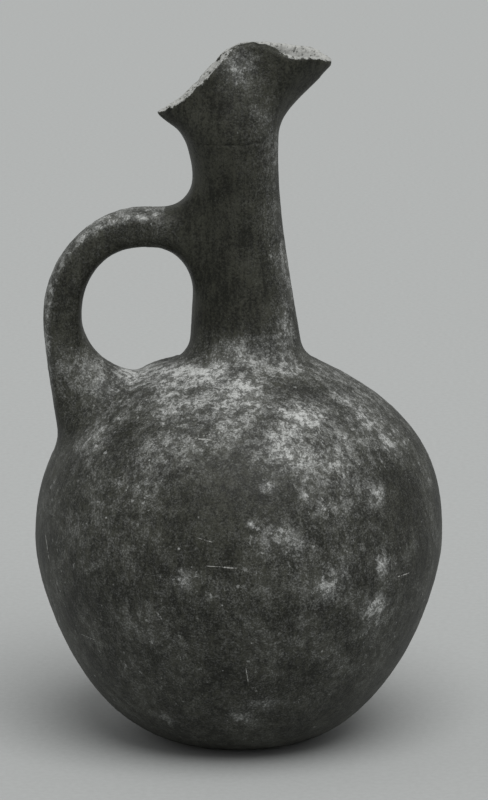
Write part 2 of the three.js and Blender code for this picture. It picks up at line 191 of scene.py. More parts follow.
# %% [markdown]
# ## The pinched head
#
# The head takes the most skill. Its rim is one closed line in space: from the beak's tip along the lobe, over the
# crest where two fingers pinched the mouth, down to the short lip at the back, and home on the other side. Nine
# points make that line, and their mirror images the other half. A smooth line through points is a chain of Bezier
# curves whose arms are a sixth of the way between each point's neighbours.

# %% The rim
SPOUT_TIP = Vector((24.1, 0, 18.8))
SPOUT_SIDE = Vector((19.6, 6.4, 20.3))
SPOUT_LOBE = Vector((13.6, 8.9, 20.8))
CREST = Vector((5.6, 5.8, 22.7))
CREST_BACK = Vector((0.6, 6.6, 21.6))
BACK_FALL = Vector((-4.2, 7.4, 17.5))
BACK_LOBE = Vector((-11.6, 5.2, 10.1))
BACK_SIDE = Vector((-16.1, 2.5, 7.6))
BACK_TIP = Vector((-18.5, 0, 6.6))
CREST_TILT = 0.5
CREST_BACK_TILT = 0.5
SPOUT_TILT = 0.3
STEPS_PER_RIM_POINT = 14
head_centre = Vector((NECK_TOP_X, 0, HEAD_JOINT))


def far(point, tilt):
    return point + Vector((0, 0, tilt))


def near(point, tilt):
    return Vector((point.x, -point.y, point.z - tilt))


half = [
    (SPOUT_SIDE, SPOUT_TILT),
    (SPOUT_LOBE, SPOUT_TILT),
    (CREST, -CREST_TILT),
    (CREST_BACK, -CREST_BACK_TILT),
    (BACK_FALL, 0),
    (BACK_LOBE, 0),
    (BACK_SIDE, 0),
]
far_half = [far(*p) for p in half]
near_half = [near(*p) for p in half[::-1]]
rim_points = [p + head_centre for p in (SPOUT_TIP, *far_half, BACK_TIP, *near_half)]
rim = []
for k, point in enumerate(rim_points):
    before = rim_points[k - 1]
    after = rim_points[(k + 1) % len(rim_points)]
    beyond = rim_points[(k + 2) % len(rim_points)]
    span = curve(point, point + (after - before) / 6, after - (beyond - point) / 6, after, STEPS_PER_RIM_POINT)
    rim += span[:-1]
SPOKES = len(rim)
TURN = 2 * math.pi / SPOKES
print("rim line:", SPOKES, "points from", len(rim_points))

# %% [markdown]
# Each point of the rim is joined to the neck by an upright curve: straight up off the neck at first, then out along
# the flare. The flare differs in front, at the back and at the sides, so its arms are mixed by direction.

# %% Upright lines of the head
LIP = 3
BACK_LIP = 1.9
LIP_CROWN = 0.6
FRONT_RISE = 7
BACK_RISE = 2.2
BACK_LEAN = 0.55
SIDE_RISE = 7
FRONT_FLARE = Vector((6.8, 0, 8.3))
BACK_FLARE = Vector((-4.2, 0, 3.3))
SIDE_FLARE = Vector((0, 0, 6))
HEAD_STEPS = 16
JOINT_LAP = 2.5


def shares(spoke):
    c = math.cos(TURN * spoke)
    front, back = max(0, c) ** 2, max(0, -c) ** 2
    return front, back, 1 - front - back


def rim_place(spoke, across, drop):
    along = rim[(spoke + 1) % SPOKES] - rim[spoke - 1]
    inward = Vector((-along.y, along.x, 0)).normalized()
    lip = LIP + (BACK_LIP - LIP) * shares(spoke)[1]
    return rim[spoke] + inward * across * lip - Vector((0, 0, drop))


def level_ring(centre, radius, height):
    def place(spoke):
        angle = TURN * spoke
        return Vector((centre + radius * math.cos(angle), radius * math.sin(angle), height))

    return place


def head_line(spoke, across, radius, height):
    front, back, side = shares(spoke)
    rise = front * FRONT_RISE + back * BACK_RISE + side * SIDE_RISE
    flare = front * FRONT_FLARE + back * BACK_FLARE + side * SIDE_FLARE
    start = level_ring(neck_axis(height), radius + NECK_BACK_FLARE * back, height)(spoke)
    end = rim_place(spoke, across, LIP_CROWN)
    first_arm = Vector((-BACK_LEAN * back * rise, 0, rise))
    return curve(start, start + first_arm, end - flare, end, HEAD_STEPS)


outer_lines = [head_line(s, 0, NECK_TOP_RADIUS, HEAD_JOINT) for s in range(SPOKES)]
inner_lines = [head_line(s, 1, NECK_TOP_RADIUS - NECK_WALL, HEAD_JOINT + JOINT_LAP) for s in range(SPOKES)]
print("head:", len(outer_lines), "upright lines outside and inside")

# %% [markdown]
# ## The smoothed corner at the neck's foot
#
# Where the neck stands on the shoulder the potter pressed a coil of clay into the corner and drew it smooth. For each
# spoke one short curve runs from the shoulder's skin up into the neck's side. Its two arms point at the sharp corner
# that the coil fills. Behind the neck the shoulder was pressed down a little as this was done.

# %% Corner lines
CORNER_WIDTH = 3
CORNER_TOP = 96.5
CORNER_HOLLOW = 0.65
BACK_PRESS = 2.2
BACK_PRESS_PLACE = Vector((-12.5, 7))
BACK_PRESS_REACH = 7.5
CORNER_STEPS = 8
COLLAR_RADIUS = 20
COLLAR_STEPS = 6


def neck_ring(height, inset=0):
    above = height - (HEAD_JOINT - NECK_BACK_HOLLOW_DEPTH)
    hollow = NECK_BACK_HOLLOW * math.exp(-((above / NECK_BACK_HOLLOW_REACH) ** 2))
    flare = NECK_BACK_FLARE * math.exp((height - HEAD_JOINT) / NECK_BACK_FLARE_REACH)

    def place(spoke):
        radius = neck_radius(height) - inset + (flare - hollow) * shares(spoke)[1]
        return level_ring(neck_axis(height), radius, height)(spoke)

    return place


def on_shoulder(place, sink=0):
    radius = math.hypot(place.x, place.y)
    from_press = (place.xy - BACK_PRESS_PLACE).length / BACK_PRESS_REACH
    press = BACK_PRESS * math.exp(-(from_press**2))
    return Vector((place.x, place.y, shoulder_height(radius) - press - sink))


def corner_line(spoke):
    foot = on_shoulder(level_ring(NECK_FOOT_X, NECK_FOOT_RADIUS + CORNER_WIDTH, 0)(spoke))
    top = neck_ring(CORNER_TOP)(spoke)
    sharp = on_shoulder(top)
    return curve(foot, foot.lerp(sharp, CORNER_HOLLOW), top.lerp(sharp, CORNER_HOLLOW), top, CORNER_STEPS)


corner_lines = [corner_line(spoke) for spoke in range(SPOKES)]


def collar_ring(share):
    def place(spoke):
        outer = level_ring(0, COLLAR_RADIUS, 0)(spoke)
        return on_shoulder(outer.lerp(corner_lines[spoke][0], share))

    return place


print("corner:", len(corner_lines), "short curves")

# %% [markdown]
# ## Building the pot up, ring on ring
#
# The potter builds with coils, one on the other, and extruding does the same: the newest ring of edges is extruded,
# and the new ring is put in its place. One sleeve goes up the outside, over the rim and down the inside. Each vertex
# keeps the number of its spoke in a layer, which the extrusion copies, so every new ring knows which way round it is.

# %% Rings of body, neck and head, up the outside and down the inside
LIP_ROUND = ((0.2, 0.15), (0.5, 0), (0.8, 0.15))
RING_GAP = 1
CAVITY_MOUTH_WIDER = 1.5
levels = [level_ring(0, p.x, p.y) for p in outline if p.x > COLLAR_RADIUS or p.y < BELLY_HEIGHT]
levels += [collar_ring(k / COLLAR_STEPS) for k in range(COLLAR_STEPS)]
levels += [lambda s, k=k: corner_lines[s][k] for k in range(CORNER_STEPS + 1)]
levels += [neck_ring(p.y) for p in neck_line if p.y > CORNER_TOP + RING_GAP]
levels += [lambda s, k=k: outer_lines[s][k] for k in range(1, HEAD_STEPS + 1)]
levels += [lambda s, a=a, d=d: rim_place(s, a, d) for a, d in LIP_ROUND]
levels += [lambda s, k=k: inner_lines[s][k] for k in range(HEAD_STEPS, 0, -1)]
bore = [p for p in neck_line if NECK_FOOT + RING_GAP < p.y < HEAD_JOINT]
levels += [neck_ring(p.y, NECK_WALL) for p in bore[::-1]]
mouth_of_cavity = NECK_FOOT_RADIUS - NECK_WALL + CAVITY_MOUTH_WIDER
levels += [level_ring(0, p.x, p.y) for p in cavity[::-1] if p.x > mouth_of_cavity or p.y < BELLY_HEIGHT]
print("sleeve:", len(levels), "rings of", SPOKES)

# %% [markdown]
# Three small functions do the building. The first ring is a circle whose points are moved to their places. Each next
# ring is an extrusion of the one before. The first and the last ring are filled with a face, so the sleeve is closed.

# %% The sleeve of body, neck and head
clay = bmesh.new()
spoke_of = clay.verts.layers.int.new("spoke")


def first_ring(place, count):
    verts = bmesh.ops.create_circle(clay, segments=count, radius=1)["verts"]
    for v in verts:
        v[spoke_of] = round(math.atan2(v.co.y, v.co.x) / (2 * math.pi) * count) % count
        v.co = place(v[spoke_of])
    return list({e for v in verts for e in v.link_edges})


def next_ring(edges, place):
    made = bmesh.ops.extrude_edge_only(clay, edges=edges)["geom"]
    verts = {g for g in made if isinstance(g, bmesh.types.BMVert)}
    for v in verts:
        v.co = place(v[spoke_of])
    return [g for g in made if isinstance(g, bmesh.types.BMEdge) and verts.issuperset(g.verts)]


def sleeve(places, count):
    ring = first_ring(places[0], count)
    bmesh.ops.contextual_create(clay, geom=ring)
    for place in places[1:]:
        ring = next_ring(ring, place)
    bmesh.ops.contextual_create(clay, geom=ring)


sleeve(levels, SPOKES)
print("sleeve of body, neck and head:", len(clay.faces), "faces")

# %% [markdown]
# ## The handle
#
# The handle is a strap of clay, a little flat on its faces, so its section is a fattened oval. It climbs from the
# shoulder, turns over and runs level into the neck. Its line is two Bezier curves and a straight run, and its two
# ends spread where the potter smoothed them on.

# %% Handle line and section
HANDLE_THICKNESS = 9.0
HANDLE_HALF_WIDTH = 6
HANDLE_SQUARENESS = 2.9
CAD_HALF_THICKNESS = 4.75
HANDLE_SIDE = Vector((box_mm("handle")[0].x + CAD_HALF_THICKNESS, 101))
HANDLE_TOP = Vector((-22, box_mm("handle")[1].z - CAD_HALF_THICKNESS))
HANDLE_ROOT = Vector((-37.3, 68))
HANDLE_SIDES = 64
KAPPA = 4 / 3 * (math.sqrt(2) - 1)
NECK_BITE = 2.5
CLIMB_LINE_STEPS = 40
BEND_STEPS = 28
RUN_STEPS = 18
turn_run = HANDLE_TOP.x - HANDLE_SIDE.x
turn_rise = HANDLE_TOP.y - HANDLE_SIDE.y
climb = curve(
    HANDLE_ROOT,
    HANDLE_ROOT.lerp(HANDLE_SIDE, 1 / 3),
    HANDLE_SIDE - Vector((0, (HANDLE_SIDE.y - HANDLE_ROOT.y) / 3)),
    HANDLE_SIDE,
    CLIMB_LINE_STEPS,
)
bend = curve(
    HANDLE_SIDE,
    HANDLE_SIDE + Vector((0, KAPPA * turn_rise)),
    HANDLE_TOP - Vector((KAPPA * turn_run, 0)),
    HANDLE_TOP,
    BEND_STEPS,
)
neck_skin_x = neck_axis(HANDLE_TOP.y) - neck_radius(HANDLE_TOP.y)
bite = Vector((neck_skin_x + NECK_BITE, HANDLE_TOP.y))
level_run = [HANDLE_TOP.lerp(bite, k / RUN_STEPS) for k in range(1, RUN_STEPS + 1)]


def section(side):
    angle = 2 * math.pi * side / HANDLE_SIDES
    power = 2 / HANDLE_SQUARENESS
    c, s = math.cos(angle), math.sin(angle)
    return math.copysign(abs(c) ** power, c), math.copysign(abs(s) ** power, s)


def climb_x(height):
    return float(np.interp(height, [p.y for p in climb], [p.x for p in climb]))


print("handle line:", len(climb) + len(bend) + len(level_run), "points")

# %% [markdown]
# At the root the clay is smoothed on to the shoulder, widest inside the loop. Each side of the handle comes down on
# a curve that bends out over the corner and ends just under the shoulder's skin.

# %% The handle's root
ROOT_ENTRY = 76
ROOT_INNER_WIDTH = 15.5
ROOT_INNER_RISE = 19
ROOT_OUTER_WIDTH = 1.5
ROOT_OUTER_RISE = 3
ROOT_GATHER = 1.5
ROOT_HOLLOW = 0.45
ROOT_STEPS = 14
ROOT_SINK = 0.5
CLIMB_STEPS = 14


def climb_place(side, growth, height):
    inner, across = section(side)
    half = HANDLE_THICKNESS / 2 + growth
    return Vector((climb_x(height) + half * inner, (HANDLE_HALF_WIDTH + growth) * across, height))


def root_line(side):
    angle = 2 * math.pi * side / HANDLE_SIDES
    inside = ((1 + math.cos(angle)) / 2) ** ROOT_GATHER
    width = ROOT_OUTER_WIDTH + (ROOT_INNER_WIDTH - ROOT_OUTER_WIDTH) * inside
    rise = ROOT_OUTER_RISE + (ROOT_INNER_RISE - ROOT_OUTER_RISE) * inside
    foot = on_shoulder(climb_place(side, width, ROOT_ENTRY), ROOT_SINK)
    sharp = on_shoulder(climb_place(side, 0, ROOT_ENTRY))
    top = climb_place(side, 0, sharp.z + rise)
    return curve(foot, foot.lerp(sharp, ROOT_HOLLOW), top.lerp(sharp, ROOT_HOLLOW), top, ROOT_STEPS)


root_lines = [root_line(side) for side in range(HANDLE_SIDES)]


def climb_ring(share):
    def place(side):
        start = root_lines[side][-1].z
        return climb_place(side, 0, start + (HANDLE_SIDE.y - start) * share)

    return place


handle_rings = [lambda s, k=k: root_lines[s][k] for k in range(ROOT_STEPS + 1)]
handle_rings += [climb_ring(k / CLIMB_STEPS) for k in range(1, CLIMB_STEPS + 1)]
print("handle's root:", len(handle_rings), "rings of", HANDLE_SIDES)

# %% [markdown]
# Round the bend and along the level run each ring stands square to the handle's line. Close to the neck the strap
# swells up and down on a quarter round, which is the clay that was smoothed on there.

# %% The handle's bend and top
BEND_FULLNESS = -0.3
TOP_ABOVE = 7.5
TOP_ABOVE_RUN = 7
TOP_BELOW = 11
TOP_BELOW_RUN = 9.5
TOP_SIDE = 1


def quarter_round(distance, run):
    share = max(0, min(1, distance / run))
    return 1 - math.sqrt(1 - (1 - share) ** 2)


def strap_ring(point, ahead):
    inward = Vector((ahead.y, -ahead.x)).normalized()
    lean = math.atan2(ahead.x, ahead.y)
    fuller = BEND_FULLNESS * math.sin(2 * lean) ** 2 if lean < math.pi / 2 else 0
    below = HANDLE_THICKNESS / 2 + fuller + TOP_BELOW * quarter_round(neck_skin_x - point.x, TOP_BELOW_RUN)
    above = HANDLE_THICKNESS / 2 + TOP_ABOVE * quarter_round(neck_skin_x - point.x, TOP_ABOVE_RUN)
    wide = HANDLE_HALF_WIDTH + TOP_SIDE * quarter_round(neck_skin_x - point.x, TOP_ABOVE_RUN)

    def place(side):
        c, s = section(side)
        offset = inward * c * (below if c > 0 else above)
        return Vector((point.x + offset.x, wide * s, point.y + offset.y))

    return place


strap = bend + level_run
for k in range(1, len(strap)):
    ahead = strap[min(k + 1, len(strap) - 1)] - strap[k - 1]
    handle_rings.append(strap_ring(strap[k], ahead))
sleeve(handle_rings, HANDLE_SIDES)
bmesh.ops.recalc_face_normals(clay, faces=clay.faces)
print("handle of", len(handle_rings), "rings; raw clay has", len(clay.faces), "faces")

# %% [markdown]
# ## Making it one skin
#
# The handle still only pokes into the sleeve. A voxel remesh turns both into one skin, as wet clay becomes one when
# the joints are smoothed, and it gives even small faces, which the dents and pits need later.

# %% Remesh to one skin
VOXEL = 0.65
raw = bpy.data.meshes.new("raw_clay")
clay.to_mesh(raw)
clay.free()
lump = bpy.data.objects.new("raw_clay", raw)
bpy.context.scene.collection.objects.link(lump)
knead = lump.modifiers.new("one_skin", "REMESH")
knead.mode = "VOXEL"
knead.voxel_size = VOXEL
bpy.context.view_layer.update()
kneaded = lump.evaluated_get(bpy.context.evaluated_depsgraph_get())
skin = bpy.data.meshes.new_from_object(kneaded)
bpy.data.objects.remove(lump)
bpy.data.meshes.remove(raw)
print("one skin:", len(skin.vertices), "vertices,", len(skin.polygons), "faces")

# %% [markdown]
# The remesh leaves the trace of its grid. Smoothing moves each point towards the middle of its neighbours, and a few
# rounds take the trace away. The corners where clay was luted on, and the two tips of the rim, get more rounds,
# because wet fingers wiped most there.

# %% Smoothing by hand
SMOOTH_ROUNDS = 4
MELT_ROUNDS = 10
SMOOTH_FACTOR = 0.5
NECK_FOOT_ZONE = ((11.5, 22), (88, 99))
HANDLE_TOP_ZONE = ((-20, -9), (104, 137))
HANDLE_ROOT_ZONE = ((-BELLY_RADIUS, -22), (60, 96))
HANDLE_ROOT_HALF_WIDTH = 16
HEAD_BACK_X = -8
HEAD_BACK_REACH = 4
TIPS_BEYOND = (-17, 19)
body = bmesh.new()
body.from_mesh(skin)


def smoothed(verts, rounds):
    for _ in range(rounds):
        bmesh.ops.smooth_vert(
            body, verts=verts, factor=SMOOTH_FACTOR, use_axis_x=True, use_axis_y=True, use_axis_z=True
        )


def in_zone(along, height, zone):
    (start, end), (low, high) = zone
    return start < along < end and low < height < high


def in_a_corner(v):
    x, y, z = v.co
    at_neck_foot = in_zone(math.hypot(x, y), z, NECK_FOOT_ZONE)
    at_handle_top = in_zone(x, z, HANDLE_TOP_ZONE)
    at_handle_root = in_zone(x, z, HANDLE_ROOT_ZONE) and abs(y) < HANDLE_ROOT_HALF_WIDTH
    at_head_joint = x < HEAD_BACK_X and abs(z - HEAD_JOINT) < HEAD_BACK_REACH
    at_tip = not TIPS_BEYOND[0] <= x <= TIPS_BEYOND[1] and z > HEAD_JOINT
    return at_neck_foot or at_handle_top or at_handle_root or at_head_joint or at_tip


corner_verts = [v for v in body.verts if in_a_corner(v)]
smoothed(body.verts, SMOOTH_ROUNDS)
smoothed(corner_verts, MELT_ROUNDS)
body.to_mesh(skin)
body.free()
print("smoothed", SMOOTH_ROUNDS, "times, and", len(corner_verts), "corner points", MELT_ROUNDS, "times more")

# %% [markdown]
# ## Painting where things are
#
# Lime from the soil lies on the shoulder, on the right side and in a few patches lower down, and a thin film of it
# covers the rest. Some of the painted amount is painted light: a painted highlight along the pale band of the
# shoulder's top, a painted reflection down the neck's right edge and along the handle's outer edge, a painted
# highlight on the handle's top, painted light on the head below the crest, and painted shade that thins the film
# towards the base. How much lies where is painted on the skin as numbers from 0 to 1, and the material later breaks
# it up into specks. A patch is a place and a reach in millimetres and a strength from 0 to 1. Patches add up as thin
# coats do, and where the pot was rubbed clean the film is taken off the same way.

# %% Patches of lime, with painted highlights, reflections and shade
SHOULDER_LIME_AND_HIGHLIGHT_PATCHES = (
    # The first five lie along the pale band by the neck's foot: lime with a painted highlight.
    (-24, -4, 87.5, 6, 0.55),
    (-18, -9, 90, 4, 0.45),
    (-14.5, -12, 90, 5, 0.55),
    (-6, -18, 90, 5, 0.75),
    (0, -21, 89, 4, 0.5),
    (-3, -27, 85.5, 4, 0.5),
    (-8, -25, 86, 10, 0.3),
    (11, -13, 92.5, 3, 0.6),
    (14.5, -27, 83, 5, 0.6),
    (25, -14.5, 84, 3, 0.5),
    (29, -18, 80, 3, 0.5),
)
RIGHT_PATCHES = (
    (6.5, -36, 78, 4, 0.55),
    (11, -36.5, 76, 4, 0.5),
    (19, -33, 75, 14, 0.14),
    (25, -34, 70, 9, 0.2),
    (34, -19.5, 74.5, 3, 0.55),
    (6.3, -42.4, 70, 1.6, 0.8),
    (15, -41.4, 67.3, 1.2, 0.7),
    (19, -41, 65, 1.4, 0.6),
    (31, -32, 66, 3, 0.45),
    (33, -34.6, 50, 2.6, 0.7),
    (31.5, -35, 40, 3, 0.6),
)
BELLY_PATCHES = (
    (3, -46, 62, 1, 0.7),
    (8.3, -46, 59.5, 4, 0.35),
    (13, -45.5, 56.6, 3, 0.4),
    (20, -43.4, 45.5, 3, 0.6),
    (23, -42, 49, 4, 0.4),
    (-13.2, -46, 48.8, 2.5, 0.5),
    (-20, -35, 73.5, 8, 0.25),
    (-33, -20, 76, 8, 0.25),
    (5, -37.2, 17.5, 3, 0.55),
    (1, -34.6, 13.2, 3, 0.4),
    (-16, -29, 11.5, 3, 0.35),
)
NECK_HANDLE_LIME_AND_LIGHT_PATCHES = (
    (12, -8.5, 100, 5, 0.5),
    (7, -12, 96, 5, 0.5),
    (0, -14.5, 95.5, 4, 0.45),
    # These four run down the neck's right edge: lime with a painted reflection along the edge.
    (12.5, -4, 108, 6, 0.55),
    (11, -4, 118, 7, 0.5),
    (9.5, -4.5, 130, 7, 0.45),
    (8.8, -3.5, 141, 6, 0.5),
    (-35, -5, 86, 7, 0.22),
    (-29, -8, 83, 5, 0.25),
    # These three lie along the top of the handle: a painted highlight on its ridge, with lime.
    (-29.5, -4.8, 124.8, 2, 0.75),
    (-26, -4.8, 125.5, 2, 0.85),
    (-22.5, -4.8, 125.8, 2, 0.75),
    (-18, -6, 124, 4, 0.35),
    # Lime on the head below the crest, partly painted light on the wall that leans in and faces up.
    (0.2, -7, 161, 5, 0.72),
    (5.5, -8.5, 149, 6, 0.35),
)
FAR_SIDE_PATCHES = (
    (2, 20, 89, 6, 0.65),
    (-14, 22, 87, 7, 0.5),
    (20, 26, 81, 5, 0.55),
    (8, 38, 75, 9, 0.4),
    (-22, 33, 72, 8, 0.35),
    (-6, 44, 66, 2, 0.7),
    (30, 32, 64, 6, 0.4),
    (-38, 20, 64, 6, 0.4),
    (42, 8, 68, 6, 0.4),
    (44, 16, 47, 3, 0.55),
    (20, 43, 46, 4, 0.45),
    (-16, 45, 50, 3, 0.45),
    (6, 38, 20, 4, 0.45),
    (-30, 9, 84, 5, 0.45),
    (11, 9, 101, 5, 0.45),
    (2, 7, 158, 5, 0.4),
)
RUBBED_CLEAN = (
    (-6, -43, 64, 12, 0.5),
    (38, -27, 62, 7, 0.5),
    (-4, -40, 28, 12, 0.15),
    (-39, -6, 82, 10, 0.55),
    (-26, -25, 80, 7, 0.35),
    (9, -19, 88.5, 5, 0.25),
    (17, -15, 88, 5, 0.25),
    (10, 44, 58, 12, 0.5),
    (-36, 28, 54, 9, 0.4),
)
SHOULDER_FILM_AND_HIGHLIGHT = 0.28
BODY_FILM = 0.39
UPPER_FILM = 0.06
SHOULDER_START = (66, 88)
SHOULDER_END = (96, 102)
BODY_END = (88, 96)
BASE_SHADE_EDGE = (6, 34)
BASE_SHADE_SHARE = 0.7
count = len(skin.vertices)
places = np.empty(count * 3, dtype=np.float32)
normals = np.empty(count * 3, dtype=np.float32)
skin.vertices.foreach_get("co", places)
skin.vertices.foreach_get("normal", normals)
places = places.reshape(-1, 3)
normals = normals.reshape(-1, 3)


def eased(values, low, high):
    share = np.clip((values - low) / (high - low), 0, 1)
    return share * share * (3 - 2 * share)


def coats(patches):
    bare = np.ones(count)
    for x, y, z, reach, strength in patches:
        far_off = ((places - (x, y, z)) ** 2).sum(axis=1) / reach**2
        bare *= 1 - strength * np.exp(-far_off)
    return 1 - bare


# The film is thicker on the shoulder's top: lime, and a painted highlight along the pale band there.
on_top = eased(places[:, 2], *SHOULDER_START) * (1 - eased(places[:, 2], *SHOULDER_END))
# Less film towards the base is painted shade: the bottom of the body is darker.
base_shade_factor = BASE_SHADE_SHARE + (1 - BASE_SHADE_SHARE) * eased(places[:, 2], *BASE_SHADE_EDGE)
on_body = base_shade_factor * (1 - eased(places[:, 2], *BODY_END))
film_and_painted_light = 1 - (1 - SHOULDER_FILM_AND_HIGHLIGHT * on_top) * (1 - UPPER_FILM - (BODY_FILM - UPPER_FILM) * on_body)
near_patches = SHOULDER_LIME_AND_HIGHLIGHT_PATCHES + RIGHT_PATCHES + BELLY_PATCHES + NECK_HANDLE_LIME_AND_LIGHT_PATCHES
film_and_painted_light *= 1 - coats(RUBBED_CLEAN)
lime_and_painted_light = 1 - (1 - coats(near_patches + FAR_SIDE_PATCHES)) * (1 - film_and_painted_light)
print("lime covers", round(float((lime_and_painted_light > 0.3).mean()) * 100), "% of the skin")

# %% [markdown]
# Wear is strongest on the lip and inside the mouth, where the slip has gone and pale clay shows. The lip is found by
# its distance from the rim line, and the inside of the mouth by the way the skin faces. The near crest keeps its dark
# slip. The handle has a thin film of dust all over. Its outer edge, found by the way the skin faces away from the
# middle of the loop, takes more lime as a painted pale reflection.

# %% Worn lip and mouth, dusty handle with a painted edge reflection
LIP_REACH = 2.8
LIP_FACING_UP = (0, 0.6)
MOUTH_MIDDLE = (3, 0)
MOUTH_FACING_OUT = (-0.1, 0.3)
MOUTH_BELOW = 2
MOUTH_ABOVE = 6
FAR_OFF = 99.0
CREST_GRIP = np.array((4.5, -6, 166))
CREST_GRIP_REACH = 6
HANDLE_FILM = 0.22
HANDLE_DUST_AND_EDGE_SHEEN = 0.6
LOOP_MIDDLE = np.array((-26, 0, 103))
HANDLE_BEHIND = -17
HANDLE_ABOVE = 80
HANDLE_FACING_OUT = (0.55, 0.9)
rim_tree = KDTree(SPOKES)
for k in range(SPOKES):
    rim_tree.insert(rim_place(k, 0.5, 0), k)
rim_tree.balance()
from_rim = np.full(count, FAR_OFF)
for k in np.flatnonzero(places[:, 2] > HEAD_JOINT):
    from_rim[k] = rim_tree.find(places[k])[2]
outward = places[:, :2] - MOUTH_MIDDLE
outward /= np.linalg.norm(outward, axis=1)[:, None]
faces_in = 1 - eased((normals[:, :2] * outward).sum(axis=1), *MOUTH_FACING_OUT)
in_mouth = faces_in * eased(places[:, 2], HEAD_JOINT - MOUTH_BELOW, HEAD_JOINT + MOUTH_ABOVE)
lip = np.exp(-((from_rim / LIP_REACH) ** 2))
crest_grip = np.exp(-((places - CREST_GRIP) ** 2).sum(axis=1) / CREST_GRIP_REACH**2)
lip_top = lip * eased(normals[:, 2], *LIP_FACING_UP)
loop_out = places - LOOP_MIDDLE
loop_out /= np.linalg.norm(loop_out, axis=1)[:, None]
on_handle = (places[:, 0] < HANDLE_BEHIND) & (places[:, 2] > HANDLE_ABOVE)
turned_out = (normals * loop_out).sum(axis=1)
# More lime on the edge that faces out of the loop: dust with a painted pale reflection.
handle_dust_and_edge_sheen = HANDLE_FILM + (HANDLE_DUST_AND_EDGE_SHEEN - HANDLE_FILM) * eased(turned_out, *HANDLE_FACING_OUT)
lime_and_painted_light = np.maximum(lime_and_painted_light, on_handle * handle_dust_and_edge_sheen)
wear = np.maximum(lip_top, in_mouth) * (1 - crest_grip)
print("worn:", int((wear > 0.5).sum()), "points of", count)

# %% [markdown]
# ## Marks of the hand
#
# No hand-built pot is perfectly round. Long low waves, the narrow facets that a burnishing pebble leaves, small pits
# where grit fell out, the thickness of the lime and nicks in the lip are all pushed into the skin along its normals,
# so that they are real shape and catch the light from any side. The resting face stays flat, and the two thin tips of
# the rim are only worn blunt.

# %% Dents, facets, pits and crust
WAVE_HEIGHT = 0.28
WAVE_LENGTH = 24
FACET_DEPTH = 0.05
FACET_WIDTH = 2.4
FACET_LENGTH = 16
PIT_DEPTH = 0.22
PIT_SPACING = 4.5
PIT_SIZE = 0.2
CRUST_HEIGHT = 0.16
CRUST_GRAIN = 0.9
CRUST_LUMP = 2.5
NICK_DEPTH = 0.55
NICK_LENGTH = 2.2
NICK_RARE = 0.05
BASE_FADE = (0.4, 4)
TIP_REACH = 2
BEAK_END = 21.5
BACK_LIP_END = -18.75
SWELLS = ((43, 0, 70, 15, 0.5), (-44, -6, 60, 12, -0.25), (20, -40, 60, 14, 0.2))


def pressed(k):
    place = Vector(places[k])
    wave = WAVE_HEIGHT * noise.noise(place / WAVE_LENGTH)
    stroke = Vector((place.x / FACET_WIDTH, place.y / FACET_WIDTH, place.z / FACET_LENGTH))
    facet = FACET_DEPTH * noise.noise(stroke)
    pit = PIT_DEPTH * max(0, 1 - noise.voronoi(place / PIT_SPACING)[0][0] / PIT_SIZE)
    crumbly = noise.noise(place / CRUST_GRAIN) + noise.noise(place / CRUST_LUMP)
    crust = CRUST_HEIGHT * lime_and_painted_light[k] * max(0, crumbly)
    nick = NICK_DEPTH * lip[k] * max(0, noise.noise(place / NICK_LENGTH) - NICK_RARE)
    return wave + facet - pit + crust - nick


push = np.array([pressed(k) for k in range(count)])
for x, y, z, reach, height in SWELLS:
    push += height * np.exp(-((places - (x, y, z)) ** 2).sum(axis=1) / reach**2)
for tip in (rim[0], rim[SPOKES // 2]):
    push *= 1 - np.exp(-((places - np.array(tip)) ** 2).sum(axis=1) / TIP_REACH**2)
push *= eased(places[:, 2], *BASE_FADE)
places += normals * push[:, None]
in_head = places[:, 2] > HEAD_JOINT
places[in_head, 0] = np.clip(places[in_head, 0], BACK_LIP_END, BEAK_END)
places[:, 2] = np.maximum(places[:, 2], 0)
skin.vertices.foreach_set("co", places.ravel())
print("pressed in by up to", round(float(-push.min()), 2), "mm, out by", round(float(push.max()), 2), "mm")

# %% [markdown]
# The painted numbers are stored on the skin as attributes with names, so that cutting the skin keeps them and the
# material can read them.

# %% Store the painted numbers
for name, values in (("lime_and_painted_light", lime_and_painted_light), ("wear", wear)):
    layer = skin.attributes.new(name, "FLOAT", "POINT")
    layer.data.foreach_set("value", values.astype(np.float32))
print("attributes:", [a.name for a in skin.attributes if a.data_type == "FLOAT"])

# %% [markdown]
# ## Cutting the skin into the nine clay members
#
# The fired pot shows one skin, but it was made from nine pieces of clay, and each of them stays a piece of its own
# here. A piece is what is left after a few cuts with a plane. Each cut is closed with a flat face inside the wall, so
# every piece is a closed solid, and the cuts lie where the CAD model has its joints.

# %% Cutting planes
NECK_CUT_RISE = 1.4
COIL_CUT_DROP = 0.8
ROOT_COIL_CUT_DROP = 2
NECK_CUT = box_mm("neck_luting_coil")[0].z + NECK_CUT_RISE
COIL_CUT = box_mm("neck_luting_coil")[1].z - COIL_CUT_DROP
ROOT_COIL_CUT = box_mm("handle_root_luting_coil")[1].z - ROOT_COIL_CUT_DROP
TOP_COIL_CUT = -18.5
NECK_SIDE_CUT = -12.4
ROOT_CUT_DEPTH = 3
ROOT_CUT_FORWARD = 3
UP, DOWN = Vector((0, 0, 1)), Vector((0, 0, -1))
FRONT, BACK = Vector((1, 0, 0)), Vector((-1, 0, 0))
root_skin = on_shoulder(Vector((climb_x(ROOT_ENTRY) + ROOT_CUT_FORWARD, 0, 0)))
slope = (on_shoulder(root_skin + FRONT) - on_shoulder(root_skin + BACK)).normalized()
root_out = Vector((-slope.z, 0, slope.x))
root_point = root_skin - root_out * ROOT_CUT_DEPTH


def level(height):
    return Vector((0, 0, height))


def across(x):
    return Vector((x, 0, 0))


